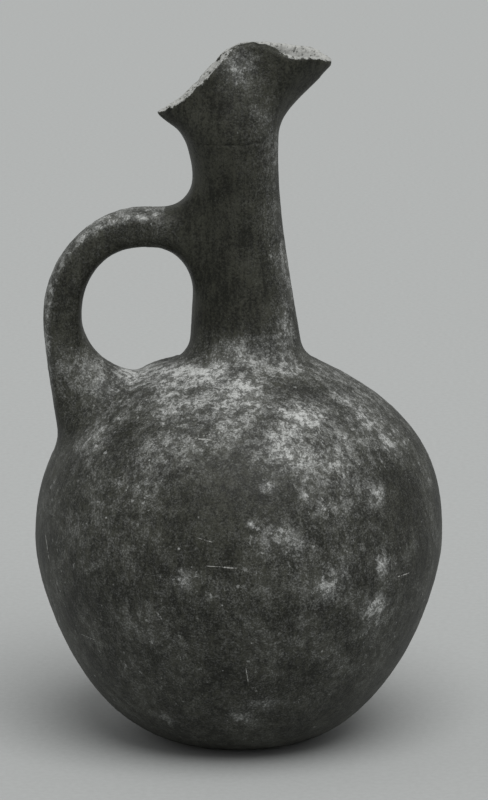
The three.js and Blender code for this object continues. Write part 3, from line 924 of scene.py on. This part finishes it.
keep_off_root = (root_point, root_out)
keep_root = (root_point, -root_out)
cuts = {
    "base_pad": [(level(BASE_JOINT), UP)],
    "lower_bowl": [(level(BASE_JOINT), DOWN), (level(BELLY_JOINT), UP)],
    "shoulder": [(level(BELLY_JOINT), DOWN), (level(NECK_CUT), UP), keep_off_root],
    "neck_luting_coil": [(level(NECK_CUT), DOWN), (level(COIL_CUT), UP), keep_off_root],
    "neck": [(level(COIL_CUT), DOWN), (level(HEAD_JOINT), UP), (across(NECK_SIDE_CUT), BACK)],
    "spout_head": [(level(HEAD_JOINT), DOWN)],
    "handle_top_luting_coil": [
        (across(NECK_SIDE_CUT), FRONT),
        (across(TOP_COIL_CUT), BACK),
        (level(COIL_CUT), DOWN),
        (level(HEAD_JOINT), UP),
    ],
    "handle": [(across(TOP_COIL_CUT), FRONT), (level(HEAD_JOINT), UP), (level(ROOT_COIL_CUT), DOWN)],
    "handle_root_luting_coil": [keep_root, (across(TOP_COIL_CUT), FRONT), (level(ROOT_COIL_CUT), UP)],
}
print("root cut leans", round(math.degrees(math.atan2(root_out.z, -root_out.x))), "degrees up")

# %% [markdown]
# Each piece starts as a copy of the whole skin. `bisect_plane` throws away what lies beyond a plane, and
# `triangle_fill` closes the cut. The skin is shaded smooth and the cut faces flat. A hairline crack shows where the
# head was set on the neck: on the near side the edge of that cut is drawn in a little, and it wanders up and down.

# %% Cut the pieces
CUT_CLOSE = 1e-4
ON_JOINT = 1e-3
CRACK_DEPTH = 0.22
CRACK_SKIN = 1.5
CRACK_NEAR_GAIN = 1.6
CRACK_NEAR_START = 0.4
CRACK_BREAK_LENGTH = 1.8
CRACK_BREAK_GAIN = 1.6
CRACK_MEAN = 0.45
CRACK_LEAST = 0.1
CRACK_WANDER = 0.9
CRACK_WANDER_LENGTH = 5
CRACK_WANDER_REACH = 2.5
CRACK_WANDER_END = 6
whole = bmesh.new()
whole.from_mesh(skin)


def cut_off(piece, point, outward):
    everything = piece.verts[:] + piece.edges[:] + piece.faces[:]
    made = bmesh.ops.bisect_plane(
        piece, geom=everything, dist=CUT_CLOSE, plane_co=point, plane_no=outward, clear_outer=True
    )
    edges = [g for g in made["geom_cut"] if isinstance(g, bmesh.types.BMEdge)]
    return bmesh.ops.triangle_fill(piece, edges=edges, normal=outward)["geom"]


def crack_in(v):
    outer = Vector((v.co.x - NECK_TOP_X, v.co.y, 0))
    if outer.length <= NECK_TOP_RADIUS - CRACK_SKIN:
        return Vector()
    shown = max(0, -outer.normalized().y * CRACK_NEAR_GAIN - CRACK_NEAR_START)
    broken = CRACK_MEAN + CRACK_BREAK_GAIN * noise.noise(v.co / CRACK_BREAK_LENGTH)
    return outer.normalized() * CRACK_DEPTH * min(1, shown) * max(CRACK_LEAST, min(1, broken))


def cracked(piece):
    for v in piece.verts:
        from_joint = v.co.z - HEAD_JOINT
        if abs(from_joint) < ON_JOINT:
            v.co -= crack_in(v)
        if abs(from_joint) < CRACK_WANDER_END:
            fade = math.exp(-((from_joint / CRACK_WANDER_REACH) ** 2))
            v.co.z += CRACK_WANDER * noise.noise(v.co / CRACK_WANDER_LENGTH) * fade


def clay_piece(node):
    piece = whole.copy()
    for f in piece.faces:
        f.smooth = True
    for point, outward in cuts[node]:
        for f in cut_off(piece, point, outward):
            if isinstance(f, bmesh.types.BMFace):
                f.smooth = False
    cracked(piece)
    for e in piece.edges:
        e.smooth = len({f.smooth for f in e.link_faces}) == 1
    bmesh.ops.scale(piece, vec=(MM, MM, MM), verts=piece.verts)
    bmesh.ops.recalc_face_normals(piece, faces=piece.faces)
    mesh = bpy.data.meshes.new(node + "_clay")
    piece.to_mesh(mesh)
    piece.free()
    made = bpy.data.objects.new(node + "_clay", mesh)
    bpy.context.scene.collection.objects.link(made)
    return made


pieces = {node: clay_piece(node) for node in cuts}
whole.free()
bpy.data.meshes.remove(skin)
for node, piece in pieces.items():
    print(node, len(piece.data.polygons), "faces")

# %% [markdown]
# Every piece stands for one node of the CAD model and rides on its body. Six are burnished clay, and the three coils
# are luting clay.

# %% Tie the pieces to the CAD frame
for node, piece in pieces.items():
    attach(piece, "root")
    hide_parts(node)
print(len(pieces), "pieces ride on root")

# %% [markdown]
# ## The finish: burnished slip under lime
#
# The pot was coated in dark slip and rubbed with a pebble, which leaves long upright strokes and a dull sheen. Lime
# lies on it as a thin grey film with pale specks. The material works in layers, from the slip up, and each layer is
# mixed in by a mask. All patterns read Object coordinates, turned to millimetres by one Mapping node.

# %% Node helpers
MIX_SHARE, MIX_UNDER, MIX_OVER, MIX_RESULT = 0, 6, 7, 2


def made(tree, kind, inputs, **settings):
    node = tree.nodes.new(kind)
    for key, value in settings.items():
        setattr(node, key, value)
    for key, value in inputs.items():
        if isinstance(value, bpy.types.NodeSocket):
            tree.links.new(value, node.inputs[key])
        else:
            node.inputs[key].default_value = value
    return node


def sums(tree, operation, *terms):
    return made(tree, "ShaderNodeMath", dict(enumerate(terms)), operation=operation).outputs[0]


def ramp(tree, value, low, high):
    inputs = {"Value": value, "From Min": low, "From Max": high}
    return made(tree, "ShaderNodeMapRange", inputs, interpolation_type="SMOOTHSTEP").outputs["Result"]


def coat(tree, share, under, over):
    inputs = {MIX_SHARE: share, MIX_UNDER: under, MIX_OVER: over}
    return made(tree, "ShaderNodeMix", inputs, data_type="RGBA").outputs[MIX_RESULT]


def grains(tree, where, size, detail=3, rough=0.55, stretch=1):
    scaled = made(tree, "ShaderNodeMapping", {"Vector": where, "Scale": (1 / size, 1 / size, 1 / size / stretch)})
    inputs = {"Vector": scaled.outputs[0], "Scale": 1, "Detail": detail, "Roughness": rough}
    return made(tree, "ShaderNodeTexNoise", inputs).outputs[0]


def painted(tree, name):
    return made(tree, "ShaderNodeAttribute", {}, attribute_name=name).outputs["Fac"]


print("helpers for materials are ready")

# %% [markdown]
# The slip comes first. Three noises are added up: broad clouds from the firing, upright strokes from the pebble,
# which are a noise stretched along the height, and a fine grain. Their sum picks a tone between two dark colours.

# %% The slip, its strokes and its grain
SLIP_DARK = (0.0055, 0.0058, 0.0030, 1)
SLIP_LIGHT = (0.034, 0.0348, 0.0250, 1)
SLIP_SPREAD = (0.455, 0.645)
CLOUD_SIZE = 9
CLOUD_SHARE = 0.35
STROKE_WIDTH = 1.1
STROKE_STRETCH = 6
STROKE_SHARE = 0.3
FINE_SIZE = 0.6
FINE_SHARE = 0.45


def slip_tone(tree, where):
    clouds = grains(tree, where, CLOUD_SIZE, detail=5, rough=0.65)
    strokes = grains(tree, where, STROKE_WIDTH, detail=4, rough=0.65, stretch=STROKE_STRETCH)
    fine = grains(tree, where, FINE_SIZE, detail=3, rough=0.75)
    broad = sums(tree, "MULTIPLY", clouds, CLOUD_SHARE)
    upper = sums(tree, "ADD", broad, sums(tree, "MULTIPLY", strokes, STROKE_SHARE))
    return ramp(tree, sums(tree, "MULTIPLY_ADD", fine, FINE_SHARE, upper), *SLIP_SPREAD)


print("slip from", SLIP_DARK[:3], "to", SLIP_LIGHT[:3])

# %% [markdown]
# Lime lies in three ways: as thin dust, as a haze that greys the slip, and as specks where it is thick. Dust follows
# the painted amount, and haze begins where more is painted. One noise breaks both into flakes and a finer one into
# grit, and neither mask falls quite to nothing between them. Specks are the high places of another noise, whose
# threshold falls as the amount rises: there are a few on the belly and a broken crust on the shoulder.

# %% Lime and painted light
LIME_AND_PAINTED_HIGHLIGHT = (0.52, 0.53, 0.515, 1)
AMOUNT_CLOUDS = 9
AMOUNT_SPREAD = (0.35, 0.65)
AMOUNT_LEAST = 0.8
AMOUNT_MORE = 0.4
FLAKE_SIZE = 2.2
FLAKE_SPREAD = (0.46, 0.55)
GRIT_SIZE = 0.42
GRIT_SPREAD = (0.46, 0.62)
HAZE = 1.5
HAZE_FROM = 0.3
HAZE_POWER = 1.9
HAZE_FLAKE_LEAST = 0.4
HAZE_FLAKE_MORE = 1.2
HAZE_GRIT_LEAST = 0.78
HAZE_GRIT_MORE = 0.5
DUST = 0.135
DUST_GRIT_LEAST = 0.3
DUST_GRIT_MORE = 1.7
DUST_FLAKE_LEAST = 0.55
DUST_FLAKE_MORE = 0.9
SPECK_RARE = 0.71
SPECK_FALL = 0.23
SPECK_SOFT = 0.07
SPECK_LEAST = 0.15
SPECK_MORE = 0.6


def lifted(tree, mask, least, more):
    return sums(tree, "MULTIPLY_ADD", mask, more, least)


# The painted amount also carries the painted highlights, the painted reflections and the painted shade towards the
# base.
def lime_and_light_amount(tree, where):
    clouds = ramp(tree, grains(tree, where, AMOUNT_CLOUDS, detail=4, rough=0.6), *AMOUNT_SPREAD)
    return sums(tree, "MULTIPLY", painted(tree, "lime_and_painted_light"), lifted(tree, clouds, AMOUNT_LEAST, AMOUNT_MORE))


def covered(tree, value, amount, rare, fall, soft):
    edge = sums(tree, "MULTIPLY_ADD", amount, -fall, rare)
    return ramp(tree, sums(tree, "SUBTRACT", value, edge), 0, soft)


def lime_and_light_share(tree, where, value):
    amount = lime_and_light_amount(tree, where)
    flakes = ramp(tree, grains(tree, where, FLAKE_SIZE, detail=5, rough=0.8), *FLAKE_SPREAD)
    grit = ramp(tree, grains(tree, where, GRIT_SIZE, detail=2, rough=0.7), *GRIT_SPREAD)
    thin = sums(tree, "MAXIMUM", sums(tree, "SUBTRACT", amount, HAZE_FROM), 0)
    haze = sums(tree, "MULTIPLY", sums(tree, "POWER", thin, HAZE_POWER), HAZE)
    haze = sums(tree, "MULTIPLY", haze, lifted(tree, flakes, HAZE_FLAKE_LEAST, HAZE_FLAKE_MORE))
    haze = sums(tree, "MULTIPLY", haze, lifted(tree, grit, HAZE_GRIT_LEAST, HAZE_GRIT_MORE))
    dust = sums(tree, "MULTIPLY", amount, lifted(tree, grit, DUST_GRIT_LEAST * DUST, DUST_GRIT_MORE * DUST))
    film_and_painted_light = sums(tree, "MULTIPLY_ADD", dust, lifted(tree, flakes, DUST_FLAKE_LEAST, DUST_FLAKE_MORE), haze)
    thick = covered(tree, value, amount, SPECK_RARE, SPECK_FALL, SPECK_SOFT)
    specks = sums(tree, "MULTIPLY", thick, lifted(tree, amount, SPECK_LEAST, SPECK_MORE))
    return sums(tree, "MULTIPLY_ADD", specks, sums(tree, "SUBTRACT", 1, film_and_painted_light), film_and_painted_light)


print("lime_and_painted_light", LIME_AND_PAINTED_HIGHLIGHT[:3])

# %% [markdown]
# Single crumbs of lime are scattered over the whole pot. A Voronoi pattern gives one point to each cell, and the
# cell's own random colour decides whether it has a crumb and how large that is.

# %% Crumbs
CRUMB_SPACING = 3.35
CRUMB_RADIUS = 0.45
CRUMB_RARITY = 0.6
CRUMB_LARGEST = 1.1
CRUMB_GRAIN = 0.5
CRUMB_EDGE = 0.25
CRUMB_RAGGED = 1.2
CRUMB_SHARE = 0.6


def crumbs_of_lime(tree, where):
    scale = (1 / CRUMB_SPACING,) * 3
    spread = made(tree, "ShaderNodeMapping", {"Vector": where, "Scale": scale}).outputs[0]
    cells = made(tree, "ShaderNodeTexVoronoi", {"Vector": spread, "Scale": 1})
    chance = made(tree, "ShaderNodeSeparateColor", {"Color": cells.outputs["Color"]}).outputs[0]
    reach = sums(tree, "MULTIPLY", ramp(tree, chance, CRUMB_RARITY, CRUMB_LARGEST), CRUMB_RADIUS)
    uneven = grains(tree, where, CRUMB_GRAIN, detail=2)
    ragged = lifted(tree, uneven, 1 - CRUMB_RAGGED / 2, CRUMB_RAGGED)
    distance = sums(tree, "MULTIPLY", cells.outputs["Distance"], CRUMB_SPACING)
    inside = sums(tree, "SUBTRACT", reach, sums(tree, "MULTIPLY", distance, ragged))
    return sums(tree, "MULTIPLY", ramp(tree, inside, 0, CRUMB_EDGE), CRUMB_SHARE)


print("crumbs every", CRUMB_SPACING, "mm or more")

# %% [markdown]
# A few scratches cut through to pale clay. Each is a thin line at one place: a Mapping node moves the place to the
# middle and turns the line level, and what is left near the middle is the scratch. A scratch is given by its place,
# its turn in degrees, half its length and half its width.

# %% Scratches
SCRATCHES = (
    ((-2.1, -48, 52.4), 4, 1.9, 0.2),
    ((-5.6, -47.5, 52.6), 2, 2, 0.1),
    ((38, -29, 46), 0, 1.8, 0.16),
    ((-18, -43, 40), 55, 1.3, 0.18),
    ((2, -42, 25.6), 82, 2.2, 0.12),
    ((-8, -34.4, 79.2), 2, 2.2, 0.12),
    ((-7.2, -33.8, 80), -12, 1, 0.14),
    ((-44.5, -17.5, 49.8), 80, 3.4, 0.09),
    ((-7.5, -46.5, 58.5), 14, 2.2, 0.09),
    ((-34.8, -26.9, 30.6), 4, 2, 0.09),
    ((30, 36, 58), 20, 2.6, 0.16),
    ((6, 47, 54), 8, 2.4, 0.16),
)
SCRATCH_DEPTH = 6
SCRATCH_CORE = 0.55
SCRATCH_GRAIN = 0.6
SCRATCH_SPREAD = (0.35, 0.6)


def scratch_mask(tree, where, place, degrees, half_length, half_width):
    shift = {"Vector": where, "Location": place, "Rotation": (0, math.radians(degrees), 0)}
    local = made(tree, "ShaderNodeMapping", shift, vector_type="TEXTURE").outputs[0]
    parts = made(tree, "ShaderNodeSeparateXYZ", {"Vector": local}).outputs
    inside = None
    for part, half in zip(parts, (half_length, SCRATCH_DEPTH, half_width)):
        near_middle = ramp(tree, sums(tree, "ABSOLUTE", part, 0), half, half * SCRATCH_CORE)
        inside = near_middle if inside is None else sums(tree, "MULTIPLY", inside, near_middle)
    return inside


def all_scratches(tree, where):
    total = scratch_mask(tree, where, *SCRATCHES[0])
    for scratch in SCRATCHES[1:]:
        total = sums(tree, "MAXIMUM", total, scratch_mask(tree, where, *scratch))
    broken = ramp(tree, grains(tree, where, SCRATCH_GRAIN, detail=2), *SCRATCH_SPREAD)
    return sums(tree, "MULTIPLY", total, broken)


print(len(SCRATCHES), "scratches")

# %% [markdown]
# The layers come together in one function, so that the burnished members and the luting coils meet without a line.
# The slip keeps a dull sheen from the burnishing, while lime and bare clay are chalky. The shader's specular level is
# the same all over, so it is set on the shader itself.

# %% The finished clay
SPECULAR = 0.22
SHEEN_ROUGHNESS = 0.45
CHALK_ROUGHNESS = 0.95
SCRATCH_COLOUR = (0.42, 0.42, 0.40, 1)
BARE_CLAY = (0.45, 0.455, 0.435, 1)
WEAR_GRAIN = 0.9
WEAR_RARE = 0.72
WEAR_FALL = 0.41
WEAR_SOFT = 0.16
BARE_PIT_SIZE = 0.8
BARE_PIT_SPREAD = (0.36, 0.58)
BARE_LEAST = 0.7
SPECK_SIZE = 1.7
SPECK_STRETCH = 1.2
CHALK_SPREAD = 0.5
SLIP_RELIEF = 0.4
LIME_RELIEF = 0.6
SCRATCH_RELIEF = -0.6
BUMP_STRENGTH = 0.7
BUMP_HEIGHT = 0.15


def bare_share(tree, where):
    fine = grains(tree, where, WEAR_GRAIN, detail=4, rough=0.7)
    worn = covered(tree, fine, painted(tree, "wear"), WEAR_RARE, WEAR_FALL, WEAR_SOFT)
    pits = ramp(tree, grains(tree, where, BARE_PIT_SIZE, detail=3, rough=0.65), *BARE_PIT_SPREAD)
    return sums(tree, "MULTIPLY", worn, lifted(tree, pits, BARE_LEAST, 1 - BARE_LEAST))


def fired_clay(name):
    material = bpy.data.materials.new(name)
    material.use_nodes = True
    tree = material.node_tree
    shader = tree.nodes["Principled BSDF"]
    shader.inputs["Specular IOR Level"].default_value = SPECULAR
    local = made(tree, "ShaderNodeTexCoord", {}).outputs["Object"]
    where = made(tree, "ShaderNodeMapping", {"Vector": local, "Scale": (1 / MM,) * 3}).outputs[0]

    tone = slip_tone(tree, where)
    value = grains(tree, where, SPECK_SIZE, detail=5, rough=0.72, stretch=SPECK_STRETCH)
    lime_and_painted_light = sums(tree, "MAXIMUM", lime_and_light_share(tree, where, value), crumbs_of_lime(tree, where))
    bare = bare_share(tree, where)
    scratches = all_scratches(tree, where)
    colour = coat(tree, tone, SLIP_DARK, SLIP_LIGHT)
    colour = coat(tree, lime_and_painted_light, colour, LIME_AND_PAINTED_HIGHLIGHT)
    colour = coat(tree, bare, colour, BARE_CLAY)
    colour = coat(tree, scratches, colour, SCRATCH_COLOUR)
    tree.links.new(colour, shader.inputs["Base Color"])

    chalk = sums(tree, "POWER", sums(tree, "MAXIMUM", lime_and_painted_light, bare), CHALK_SPREAD)
    rough = {"Value": chalk, "To Min": SHEEN_ROUGHNESS, "To Max": CHALK_ROUGHNESS}
    roughness = made(tree, "ShaderNodeMapRange", rough).outputs["Result"]
    tree.links.new(roughness, shader.inputs["Roughness"])
    strokes = sums(tree, "MULTIPLY", tone, SLIP_RELIEF)
    cut = sums(tree, "MULTIPLY_ADD", scratches, SCRATCH_RELIEF, strokes)
    height = sums(tree, "MULTIPLY_ADD", lime_and_painted_light, LIME_RELIEF, cut)
    relief = {"Height": height, "Strength": BUMP_STRENGTH, "Distance": BUMP_HEIGHT * MM}
    tree.links.new(made(tree, "ShaderNodeBump", relief).outputs["Normal"], shader.inputs["Normal"])
    return material


burnished_clay = fired_clay("burnished_clay")
luting_clay = fired_clay("luting_clay")
for node, piece in pieces.items():
    piece.data.materials.append(luting_clay if node.endswith("coil") else burnished_clay)
print("two materials on", len(pieces), "pieces")

# %% [markdown]
# ## The stage: floor, light and camera
#
# The pot stands on a pale floor under one broad soft light, above it and a little in front, with an even fill from
# all round. So the shoulder is bright, the underside is dark, and a soft round shadow lies under the belly. The floor
# is large enough to be the whole background.

# %% Floor
FLOOR_RADIUS = 6
FLOOR_DARK = (0.425, 0.436, 0.431, 1)
FLOOR_PALE = (0.450, 0.463, 0.458, 1)
PAPER_GRAIN = 1.5
FIBRE_SPREAD = (0.3, 0.7)
FLOOR_SIDES = 96
ground = bmesh.new()
bmesh.ops.create_circle(ground, cap_ends=True, segments=FLOOR_SIDES, radius=FLOOR_RADIUS)
floor_mesh = bpy.data.meshes.new("floor")
ground.to_mesh(floor_mesh)
ground.free()
floor = bpy.data.objects.new("floor", floor_mesh)
bpy.context.scene.collection.objects.link(floor)
paper = bpy.data.materials.new("floor_paper")
paper.use_nodes = True
paper_shader = paper.node_tree.nodes["Principled BSDF"]
paper_shader.inputs["Roughness"].default_value = 1
paper_shader.inputs["Specular IOR Level"].default_value = 0
sheet = paper.node_tree
on_floor = made(sheet, "ShaderNodeTexCoord", {}).outputs["Object"]
fibres = ramp(sheet, grains(sheet, on_floor, PAPER_GRAIN * MM, detail=4, rough=0.6), *FIBRE_SPREAD)
sheet.links.new(coat(sheet, fibres, FLOOR_DARK, FLOOR_PALE), paper_shader.inputs["Base Color"])
floor_mesh.materials.append(paper)
print("floor", 2 * FLOOR_RADIUS, "m across")

# %% [markdown]
# A sun lamp with a wide angle is the broad soft light: the wider the angle, the softer the edge of the shadow. The
# world is the fill. Rays that the camera sees directly, or in a reflection, find a plain pale backdrop there instead,
# so the fill can be changed without changing the background.

# %% Light
FILL = 0.45
SKY = (FILL, FILL, FILL, 1)
BACKDROP = (0.445, 0.456, 0.451, 1)
SUN = 2.05
SOFTNESS = math.radians(45)
SUN_FROM = Vector((0.15, -0.55, 1))
world = bpy.data.worlds.new("studio")
bpy.context.scene.world = world
world.use_nodes = True
air = world.node_tree
path = made(air, "ShaderNodeLightPath", {})
to_camera = sums(air, "ADD", path.outputs["Is Camera Ray"], path.outputs["Is Transmission Ray"])
seen = coat(air, sums(air, "ADD", to_camera, path.outputs["Is Glossy Ray"]), SKY, BACKDROP)
air.links.new(seen, air.nodes["Background"].inputs["Color"])
sun = bpy.data.objects.new("soft_light", bpy.data.lights.new("soft_light", "SUN"))
sun.data.energy = SUN
sun.data.angle = SOFTNESS
sun.rotation_euler = SUN_FROM.to_track_quat("Z", "Y").to_euler()
bpy.context.scene.collection.objects.link(sun)
print("fill", FILL, "and one soft light of", SUN)

# %% [markdown]
# The camera looks down by a few degrees through a long lens, so the mouth opens a little towards it and the sides
# hardly converge. The lens follows from the height of the view at the camera's distance. The Standard view transform
# keeps the greys as they are set.

# %% Camera
AIM = Vector((1.3, 0, 81)) * MM
DISTANCE = 1100 * MM
ELEVATION = math.radians(12)
VIEW_HEIGHT = 188 * MM
SENSOR = 36
camera = bpy.data.objects.new("camera", bpy.data.cameras.new("camera"))
bpy.context.scene.collection.objects.link(camera)
camera.data.sensor_width = SENSOR
camera.data.lens = SENSOR * DISTANCE / VIEW_HEIGHT
camera.location = AIM + DISTANCE * Vector((0, -math.cos(ELEVATION), math.sin(ELEVATION)))
camera.rotation_euler = (math.pi / 2 - ELEVATION, 0, 0)
bpy.context.scene.camera = camera
bpy.context.scene.view_settings.view_transform = "Standard"
print("lens", round(camera.data.lens, 1), "mm")
